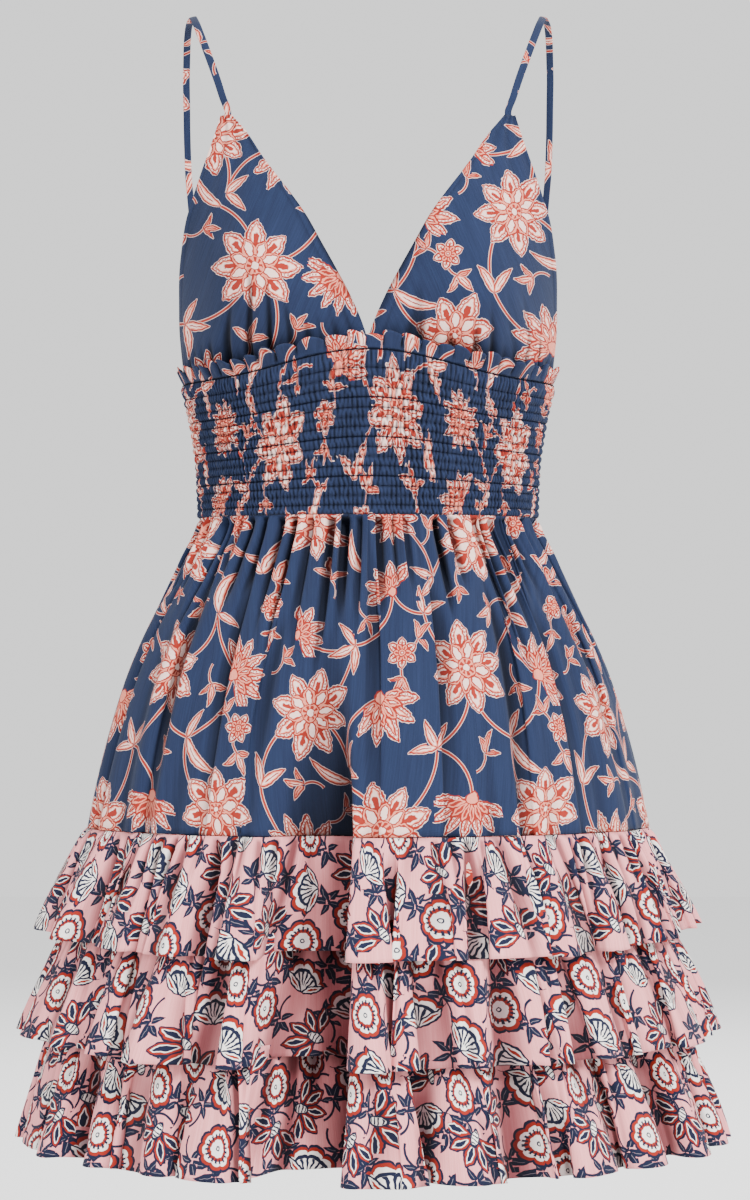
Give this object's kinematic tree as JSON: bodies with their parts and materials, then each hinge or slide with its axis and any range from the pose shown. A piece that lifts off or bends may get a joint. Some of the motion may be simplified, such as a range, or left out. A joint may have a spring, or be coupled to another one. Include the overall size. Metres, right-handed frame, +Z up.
{
  "type": "sleeveless tiered mini dress",
  "caption": "Sleeveless mini dress with gathered triangle cups on thin straps, a shirred waist band, a gathered floral skirt and ruffle tiers at the hem.",
  "frame": {"origin": "midway between the undersides of the two straps where they cross the shoulders", "axes": "+Z up along the wearer's spine, -Y is the front of the dress, +X is to the right of a viewer who faces the front"},
  "size_m": [0.5153, 0.4387, 0.8187],
  "materials": {
    "blue_print_cotton": "matt crinkled cotton, printed with a floral pattern on blue",
    "pink_print_cotton": "matt crinkled cotton, printed with a small floral pattern on pink"
  },
  "bodies": {
    "root": {"cup_left": "blue_print_cotton", "cup_right": "blue_print_cotton", "strap_left": "blue_print_cotton", "strap_right": "blue_print_cotton", "frill_front": "blue_print_cotton", "frill_back": "blue_print_cotton", "band_front": "blue_print_cotton", "band_back": "blue_print_cotton", "skirt_front": "blue_print_cotton", "skirt_back": "blue_print_cotton", "underskirt_front": "blue_print_cotton", "underskirt_back": "blue_print_cotton", "tier1_front": "pink_print_cotton", "tier1_back": "pink_print_cotton", "tier2_front": "pink_print_cotton", "tier2_back": "pink_print_cotton", "tier3_front": "pink_print_cotton", "tier3_back": "pink_print_cotton"}
  },
  "joints": []
}
